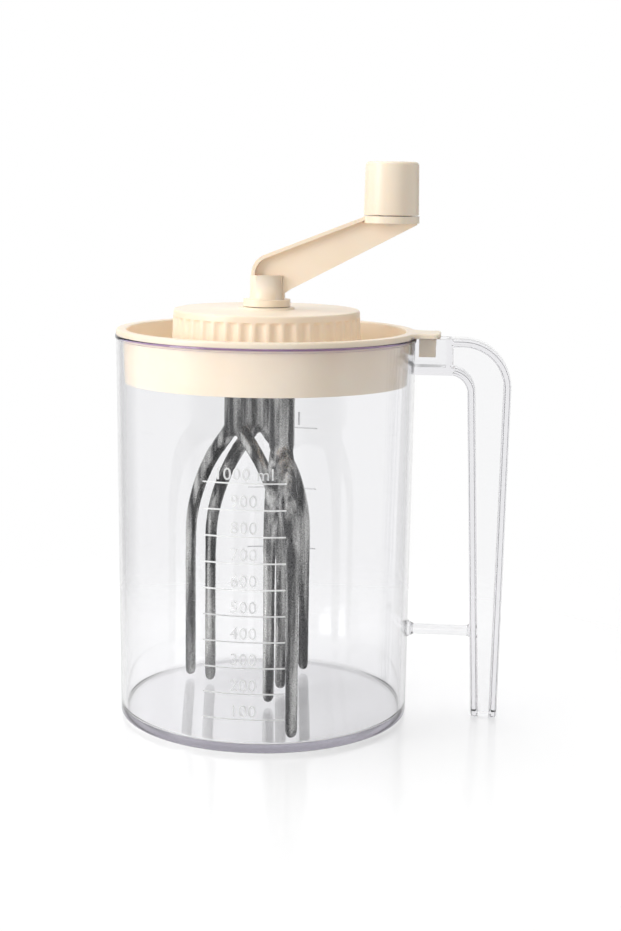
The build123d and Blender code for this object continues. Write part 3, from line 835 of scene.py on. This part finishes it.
@dataclass
class Drum:
    """The cream fluted drum that houses the gears.

    Attributes:
        base: Height of its foot.
        top: Height of its roof.
        top_radius: Outer radius at the roof.
        base_radius: Outer radius at the foot.
        flutes: Number of flutes.
        flute_depth: Depth of a flute.
        flute_half: Half the width of a flute.
        bands: Height of the plain bands at the top and at the base.
        fade: Height over which a flute runs out.
        top_rounding: Rounding of the roof's edge.
        slices: Mesh steps across one flute.
        boss: Radii of the boss on the roof and how far they stand above it.
        inner: Radii and heights of the hollow, from the foot up to the boss.
    """

    base: float = 143.4
    top: float = 162.9
    top_radius: float = 36.75
    base_radius: float = 37.65
    flutes: int = 42
    flute_depth: float = 0.8
    flute_half: float = 2.1
    bands: tuple[float, float] = (2.6, 3.0)
    fade: float = 1.2
    top_rounding: float = 0.8
    slices: int = 12
    boss: tuple[tuple[float, float], ...] = (
        (11.4, 0), (11.1, 0.15), (11.0, 0.5), (10.8, 0.85), (10.5, 0.9), (7.4, 0.9),
    )
    inner: tuple[tuple[float, float], ...] = (
        (7.3, 163.6), (7.3, 160.5), (29.5, 160.5), (29.5, 151.4), (33.4, 151.4), (33.4, 143.4),
    )

    def wall(self, height: float) -> float:
        """Return the plain outer radius at a height."""
        share = (height - self.base) / (self.top - self.base)
        return self.base_radius + (self.top_radius - self.base_radius) * share

    def depth(self, point: bmesh.types.BMVert) -> float:
        """Return how deep a flute is at a point's angle round the drum."""
        pitch = math.tau / self.flutes
        turn = math.atan2(point.co.y, point.co.x) % pitch
        across = min(turn, pitch - turn) * self.base_radius
        if across >= self.flute_half:
            return 0.0
        return self.flute_depth * math.cos(math.pi / 2 * across / self.flute_half) ** 0.8

    def rings(self) -> list[tuple[float, float, float]]:
        """List the rings of the outside, from the foot to the boss.

        Returns:
            Radius, height and share of the flutes' depth of each ring.
        """
        low, high = self.base + self.bands[1], self.top - self.bands[0]
        outside = [(self.base, 0), (self.base + 0.5, 0), (low - 0.3, 0), (low, 0)]
        for step, share in ((0.25, 0.45), (0.55, 0.82), (1.0, 1.0)):
            outside.append((low + self.fade * step, share))
        outside += [(low + (high - low) * part, 1.0) for part in (0.35, 0.65)]
        for step, share in ((1.0, 1.0), (0.55, 0.82), (0.25, 0.45)):
            outside.append((high - self.fade * step, share))
        outside += [(high, 0), (high + 0.3, 0), (self.top - self.top_rounding - 0.1, 0)]
        rings = [(self.wall(height), height, share) for height, share in outside]
        for step in range(1, 6):
            angle = math.pi / 2 * step / 5
            inwards, down = 1 - math.cos(angle), 1 - math.sin(angle)
            rings.append((self.top_radius - self.top_rounding * inwards, self.top - self.top_rounding * down, 0))
        rings += [(reach, self.top + rise, 0) for reach, rise in self.boss]
        return rings

    def build(self, finish: bpy.types.Material) -> None:
        """Raise the drum ring by ring.

        Args:
            finish: Cream plastic.
        """
        form = bmesh.new()
        outline = self.rings() + [(radius, height, 0) for radius, height in self.inner]
        start_radius, start_height, _ = outline[0]
        first = bmesh.ops.create_circle(form, segments=self.flutes * self.slices, radius=start_radius)["verts"]
        bmesh.ops.translate(form, vec=(0, 0, start_height), verts=first)
        edges, height = list(form.edges), start_height
        first_edges = list(edges)
        for next_radius, next_height, share in outline[1:]:
            grown = bmesh.ops.extrude_edge_only(form, edges=edges)["geom"]
            verts = [part for part in grown if isinstance(part, bmesh.types.BMVert)]
            edges = [part for part in grown if isinstance(part, bmesh.types.BMEdge)]
            bmesh.ops.translate(form, vec=(0, 0, next_height - height), verts=verts)
            for point in verts:
                reach = next_radius - share * self.depth(point)
                level = Vector((point.co.x, point.co.y, 0)).normalized() * reach
                point.co = (level.x, level.y, next_height)
            height = next_height
        bmesh.ops.bridge_loops(form, edges=edges + first_edges)
        drum = to_object(form, "fluted_drum", finish, smooth_below=38)
        settle(drum, Body.LID, Slot.CREAM, "gear_cap")


@dataclass
class Crank:
    """The cream crank: collar and hub, T-shaped arm and the disc under the knob.

    Attributes:
        name: Name of its piece.
    """

    name: str = "crank_arm"

    def build(self, node: bpy.types.Object, finish: bpy.types.Material) -> None:
        """Shade a copy of the solid crank.

        Args:
            node: The solid crank.
            finish: Cream plastic.
        """
        arm = to_object(plain_copy(node), self.name, finish)
        even_shading(arm)
        settle(arm, Body.CRANK, Slot.CREAM, "crank")


@dataclass
class Knob:
    """The cream grip that turns on the crank's disc.

    Attributes:
        middle: X of its axis.
        bottom: Height of its underside.
        top: Height of its top.
        radii: Radius at the base and at the top.
        rounding: Rounding of its top edge.
        plug: Radius of the disc that closes its top.
    """

    middle: float = 48.4
    bottom: float = 200.1
    top: float = 220.5
    radii: tuple[float, float] = (10.7, 10.3)
    rounding: float = 1.3
    plug: float = 6.2

    def build(self, finish: bpy.types.Material) -> None:
        """Turn the grip.

        Args:
            finish: Cream plastic.
        """
        corners = [
            (5.3, self.bottom, 0.1),
            (self.radii[0], self.bottom, 0.45),
            (self.radii[1], self.top, self.rounding),
            (self.plug + 0.05, self.top, 0.15),
            (self.plug + 0.05, self.top - 4.8, 0),
            (3.05, self.top - 4.8, 0),
            (3.05, self.bottom + 1.3, 0),
            (5.3, self.bottom + 1.3, 0),
        ]
        grip = to_object(turned(corners, True, 96, self.middle), "knob_grip", finish)
        settle(grip, Body.KNOB, Slot.CREAM, "knob")


@dataclass
class Beater:
    """One cast wishbone beater, with a softened skin over its solid's shape.

    Attributes:
        name: Name of the solid.
        grain: Mesh step of the cast skin.
        wobble: Height of the skin's unevenness.
        rounds: Smoothing rounds.
        swell: How far the skin is pushed out again after the smoothing.
    """

    name: str
    grain: float = 0.5
    wobble: float = 0.09
    rounds: int = 3
    swell: float = 0.12

    def build(self, node: bpy.types.Object, finish: bpy.types.Material) -> None:
        """Remesh a copy of the solid, smooth it and make it slightly uneven.

        Args:
            node: The solid beater.
            finish: Cast metal.
        """
        rough = to_object(copy_of(node), self.name + "_draft", finish)
        skin = rough.modifiers.new("skin", "REMESH")
        skin.mode = "VOXEL"
        skin.voxel_size = self.grain * MM
        bpy.context.view_layer.update()
        mesh = bpy.data.meshes.new_from_object(rough.evaluated_get(bpy.context.evaluated_depsgraph_get()))
        form = bmesh.new()
        form.from_mesh(mesh)
        bpy.data.objects.remove(rough)
        bpy.data.meshes.remove(mesh)
        bmesh.ops.scale(form, vec=(1 / MM, 1 / MM, 1 / MM), verts=form.verts)
        for _ in range(self.rounds):
            bmesh.ops.smooth_vert(
                form, verts=form.verts, factor=0.5, use_axis_x=True, use_axis_y=True, use_axis_z=True
            )
        form.normal_update()
        for point in form.verts:
            place = Vector((point.co.x * 0.45, point.co.y * 0.45, point.co.z * 0.22))
            point.co += point.normal * (self.swell + self.wobble * noise.noise(place))
        piece = to_object(form, self.name + "_casting", finish, smooth_below=80)
        settle(piece, Body.ROTOR, Slot.CAST, self.name)


# ---------------------------------------------------------------- surroundings


@dataclass(frozen=True)
class Camera:
    """The camera of the main view, a fitted compromise.

    Attributes:
        place: Position in metres.
        heading: Horizontal part of the view direction.
        dip: How far it looks down, in degrees.
        roll: Turn about the view direction, in radians.
        lens: Focal length for a 36 mm sensor on the long side.
    """

    place: tuple[float, float, float] = (0.08276, -0.61442, 0.21072)
    heading: tuple[float, float] = (-0.10454, 0.99452)
    dip: float = 10.108
    roll: float = -0.0135
    lens: float = 60.54

    def build(self) -> None:
        """Place the camera and make it the scene's own."""
        dip = math.radians(self.dip)
        ahead = Vector((self.heading[0] * math.cos(dip), self.heading[1] * math.cos(dip), -math.sin(dip)))
        right = ahead.cross(Vector((0, 0, 1))).normalized()
        up = right.cross(ahead).normalized()
        rolled_right = right * math.cos(self.roll) - up * math.sin(self.roll)
        rolled_up = right * math.sin(self.roll) + up * math.cos(self.roll)
        data = bpy.data.cameras.new("view")
        data.sensor_width = 36.0
        data.lens = self.lens
        data.clip_start, data.clip_end = 0.01, 50.0
        camera = bpy.data.objects.new("view", data)
        turn = Matrix((rolled_right, rolled_up, -ahead)).transposed().to_4x4()
        camera.matrix_world = Matrix.Translation(self.place) @ turn
        bpy.context.scene.collection.objects.link(camera)
        bpy.context.scene.camera = camera


@dataclass(frozen=True)
class Softbox:
    """One soft lamp.

    Attributes:
        name: Name of the lamp.
        place: Position in metres.
        size: Width and height in metres.
        power: Power in watts.
        aim: Point that it faces.
    """

    name: str
    place: tuple[float, float, float]
    size: tuple[float, float]
    power: float
    aim: tuple[float, float, float] = (0.0, 0.0, 0.11)

    def build(self) -> None:
        """Hang the lamp and turn it to its aim."""
        data = bpy.data.lights.new(self.name, type="AREA")
        data.shape = "RECTANGLE"
        data.size, data.size_y = self.size
        data.energy = self.power
        lamp = bpy.data.objects.new(self.name, data)
        lamp.location = self.place
        lamp.rotation_euler = (Vector(self.aim) - Vector(self.place)).to_track_quat("-Z", "Y").to_euler()
        lamp.visible_transmission = False
        bpy.context.scene.collection.objects.link(lamp)


@dataclass
class Studio:
    """The white surroundings: world, floor and soft lamps.

    Attributes:
        ambient: Strength of the light that comes from all sides.
        open_side: Direction in degrees of one of the four white sides that gloss shows.
        corner_grey: Brightness of the corners between the white sides.
        corner_blend: Levels of the fourfold wave between which a corner brightens.
        sky_blend: Steepness between which the sky and the ground turn white.
        floor_radius: Radius of the floor in metres.
        floor_drop: How far the floor lies under the part, in metres.
        near: Radii in metres between which the real floor fades into the surround.
        lift: Brightness that the floor is seen with on top of its own light.
        lamps: The soft lamps.
    """

    ambient: float = 0.58
    open_side: float = 96.0
    corner_grey: float = 0.15
    corner_blend: tuple[float, float] = (-0.98, 0.0)
    sky_blend: tuple[float, float] = (0.45, 0.75)
    floor_radius: float = 3.0
    floor_drop: float = 0.0002
    near: tuple[float, float] = (0.08, 0.3)
    lift: float = 0.2
    lamps: list[Softbox] = field(
        default_factory=lambda: [
            Softbox("key_left", (-0.85, -0.6, 0.45), (0.5, 0.8), 7.5),
            Softbox("top", (-0.3, 0.1, 1.1), (0.8, 0.8), 3.5),
        ]
    )

    def surround(self, board: Board) -> bpy.types.NodeSocket:
        """Brighten the four sides and the sky, and leave the corners grey.

        Args:
            board: The world's board.

        Returns:
            The brightness that gloss shows, by direction.
        """
        place = board.add("ShaderNodeTexCoord")
        split = board.add("ShaderNodeSeparateXYZ")
        around = board.add("ShaderNodeMath", operation="ARCTAN2")
        turned_round = board.add("ShaderNodeMath", operation="SUBTRACT")
        turned_round.inputs[1].default_value = math.radians(self.open_side)
        fourfold = board.add("ShaderNodeMath", operation="MULTIPLY")
        fourfold.inputs[1].default_value = 4.0
        wave = board.add("ShaderNodeMath", operation="COSINE")
        sides = board.add("ShaderNodeMapRange", interpolation_type="SMOOTHSTEP")
        sides.inputs["From Min"].default_value, sides.inputs["From Max"].default_value = self.corner_blend
        sides.inputs["To Min"].default_value = self.corner_grey
        steep = board.add("ShaderNodeMath", operation="ABSOLUTE")
        sky = board.add("ShaderNodeMapRange", interpolation_type="SMOOTHSTEP")
        sky.inputs["From Min"].default_value, sky.inputs["From Max"].default_value = self.sky_blend
        brightest = board.add("ShaderNodeMath", operation="MAXIMUM")
        board.join(place.outputs["Generated"], split.inputs["Vector"])
        board.join(split.outputs["Y"], around.inputs[0])
        board.join(split.outputs["X"], around.inputs[1])
        board.join(around.outputs[0], turned_round.inputs[0])
        board.join(turned_round.outputs[0], fourfold.inputs[0])
        board.join(fourfold.outputs[0], wave.inputs[0])
        board.join(wave.outputs[0], sides.inputs["Value"])
        board.join(split.outputs["Z"], steep.inputs[0])
        board.join(steep.outputs[0], sky.inputs["Value"])
        board.join(sides.outputs["Result"], brightest.inputs[0])
        board.join(sky.outputs["Result"], brightest.inputs[1])
        return brightest.outputs[0]

    def world(self) -> None:
        """Make a world that looks white and lights softly."""
        world = bpy.data.worlds.new("white_surround")
        bpy.context.scene.world = world
        world.use_nodes = True
        board = Board.on(world.node_tree, "ShaderNodeOutputWorld")
        path = board.add("ShaderNodeLightPath")
        looked_through = board.add("ShaderNodeMath", operation="MAXIMUM")
        white = board.add("ShaderNodeBackground")
        white.inputs["Color"].default_value = (1, 1, 1, 1)
        seen_in_gloss = board.add("ShaderNodeBackground")
        seen_in_gloss.inputs["Color"].default_value = (1, 1, 1, 1)
        soft = board.add("ShaderNodeBackground")
        soft.inputs["Color"].default_value = (1, 1, 1, 1)
        soft.inputs["Strength"].default_value = self.ambient
        gloss_or_soft = board.add("ShaderNodeMixShader")
        seen_or_not = board.add("ShaderNodeMixShader")
        board.join(self.surround(board), seen_in_gloss.inputs["Strength"])
        board.join(path.outputs["Is Glossy Ray"], gloss_or_soft.inputs["Fac"])
        board.join(soft.outputs[0], gloss_or_soft.inputs[1])
        board.join(seen_in_gloss.outputs[0], gloss_or_soft.inputs[2])
        board.join(path.outputs["Is Camera Ray"], looked_through.inputs[0])
        board.join(path.outputs["Is Transmission Ray"], looked_through.inputs[1])
        board.join(looked_through.outputs[0], seen_or_not.inputs["Fac"])
        board.join(gloss_or_soft.outputs[0], seen_or_not.inputs[1])
        board.join(white.outputs[0], seen_or_not.inputs[2])
        board.join(seen_or_not.outputs[0], board.output.inputs["Surface"])

    def floor(self) -> None:
        """Lay a pale floor that fades into the white surround away from the jar."""
        form = bmesh.new()
        bmesh.ops.create_circle(form, cap_ends=True, segments=96, radius=self.floor_radius)
        mesh = bpy.data.meshes.new("pale_floor")
        bmesh.ops.translate(form, vec=(0, 0, -self.floor_drop), verts=form.verts)
        form.to_mesh(mesh)
        form.free()
        floor = bpy.data.objects.new("pale_floor", mesh)
        bpy.context.scene.collection.objects.link(floor)
        board = Board("pale_floor")
        top = board.shader(Base_Color=(0.88, 0.88, 0.88, 1), Roughness=0.12, IOR=1.5)
        lifted = board.add("ShaderNodeEmission")
        lifted.inputs["Color"].default_value = (1, 1, 1, 1)
        path = board.add("ShaderNodeLightPath")
        seen = board.add("ShaderNodeMath", operation="MAXIMUM")
        level = board.add("ShaderNodeMath", operation="MULTIPLY")
        level.inputs[1].default_value = self.lift
        both = board.add("ShaderNodeAddShader")
        clear = board.add("ShaderNodeBsdfTransparent")
        place = board.add("ShaderNodeTexCoord")
        reach = board.add("ShaderNodeVectorMath", operation="LENGTH")
        fade = board.add("ShaderNodeMapRange", interpolation_type="SMOOTHERSTEP")
        fade.inputs["From Min"].default_value, fade.inputs["From Max"].default_value = self.near
        mix = board.add("ShaderNodeMixShader")
        board.join(path.outputs["Is Camera Ray"], seen.inputs[0])
        board.join(path.outputs["Is Transmission Ray"], seen.inputs[1])
        board.join(seen.outputs[0], level.inputs[0])
        board.join(level.outputs[0], lifted.inputs["Strength"])
        board.join(top.outputs["BSDF"], both.inputs[0])
        board.join(lifted.outputs["Emission"], both.inputs[1])
        board.join(place.outputs["Object"], reach.inputs[0])
        board.join(reach.outputs["Value"], fade.inputs["Value"])
        board.join(fade.outputs["Result"], mix.inputs["Fac"])
        board.join(both.outputs["Shader"], mix.inputs[1])
        board.join(clear.outputs["BSDF"], mix.inputs[2])
        board.join(mix.outputs["Shader"], board.output.inputs["Surface"])
        mesh.materials.append(board.material)

    def build(self) -> None:
        """Set the view transform, the world, the floor and the lamps."""
        bpy.context.scene.view_settings.view_transform = "Standard"
        self.world()
        self.floor()
        for lamp in self.lamps:
            lamp.build()


# ---------------------------------------------------------------- putting it together


def dress(nodes: dict[str, bpy.types.Object], names: Iterable[str], finish: bpy.types.Material) -> None:
    """Give solids that stay visible their finish.

    Args:
        nodes: All solids by name.
        names: The solids to dress.
        finish: Their material.
    """
    for name in names:
        materials = nodes[name].data.materials
        materials.clear()
        materials.append(finish)
        log.info("%s: dressed in %s", name, finish.name)


def main() -> None:
    """Build every piece round the solids, then the studio and the camera."""
    logging.basicConfig(level=logging.INFO, format="%(message)s")
    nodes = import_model()["nodes"]
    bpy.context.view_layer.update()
    clear, clear_handle, marks = CLEAR.make(), CLEAR_HANDLE.make(), MARKS_PAINTED_HIGHLIGHT.make()
    cream, white, cast, steel = CREAM.make(), GEAR_WHITE.make(), CAST.make(), STEEL.make()
    jar = Jar()
    jar.build(clear)
    Handle().build(nodes["handle"], jar, clear_handle)
    VolumeScale().build(jar, marks)
    Lid().build(nodes["lid"], cream)
    Drum().build(cream)
    Crank().build(nodes["crank"], cream)
    Knob().build(cream)
    for name in ("beater_left", "beater_back", "beater_front"):
        Beater(name).build(nodes[name], cast)
    dress(nodes, ("rotor_plate",), cast)
    dress(nodes, ("knob_plug",), cream)
    dress(nodes, ("ring_gear", "floor_bush", "cap_bush", "carrier", "planet_a", "planet_b", "planet_c"), white)
    dress(
        nodes,
        (
            "cap_screws", "planet_pins", "crank_screw", "knob_pin", "knob_clip", "sun_shaft", "beater_screws",
            "rotor_screw",
        ),
        steel,
    )
    Studio().build()
    Camera().build()


if __name__ == "__main__":
    main()
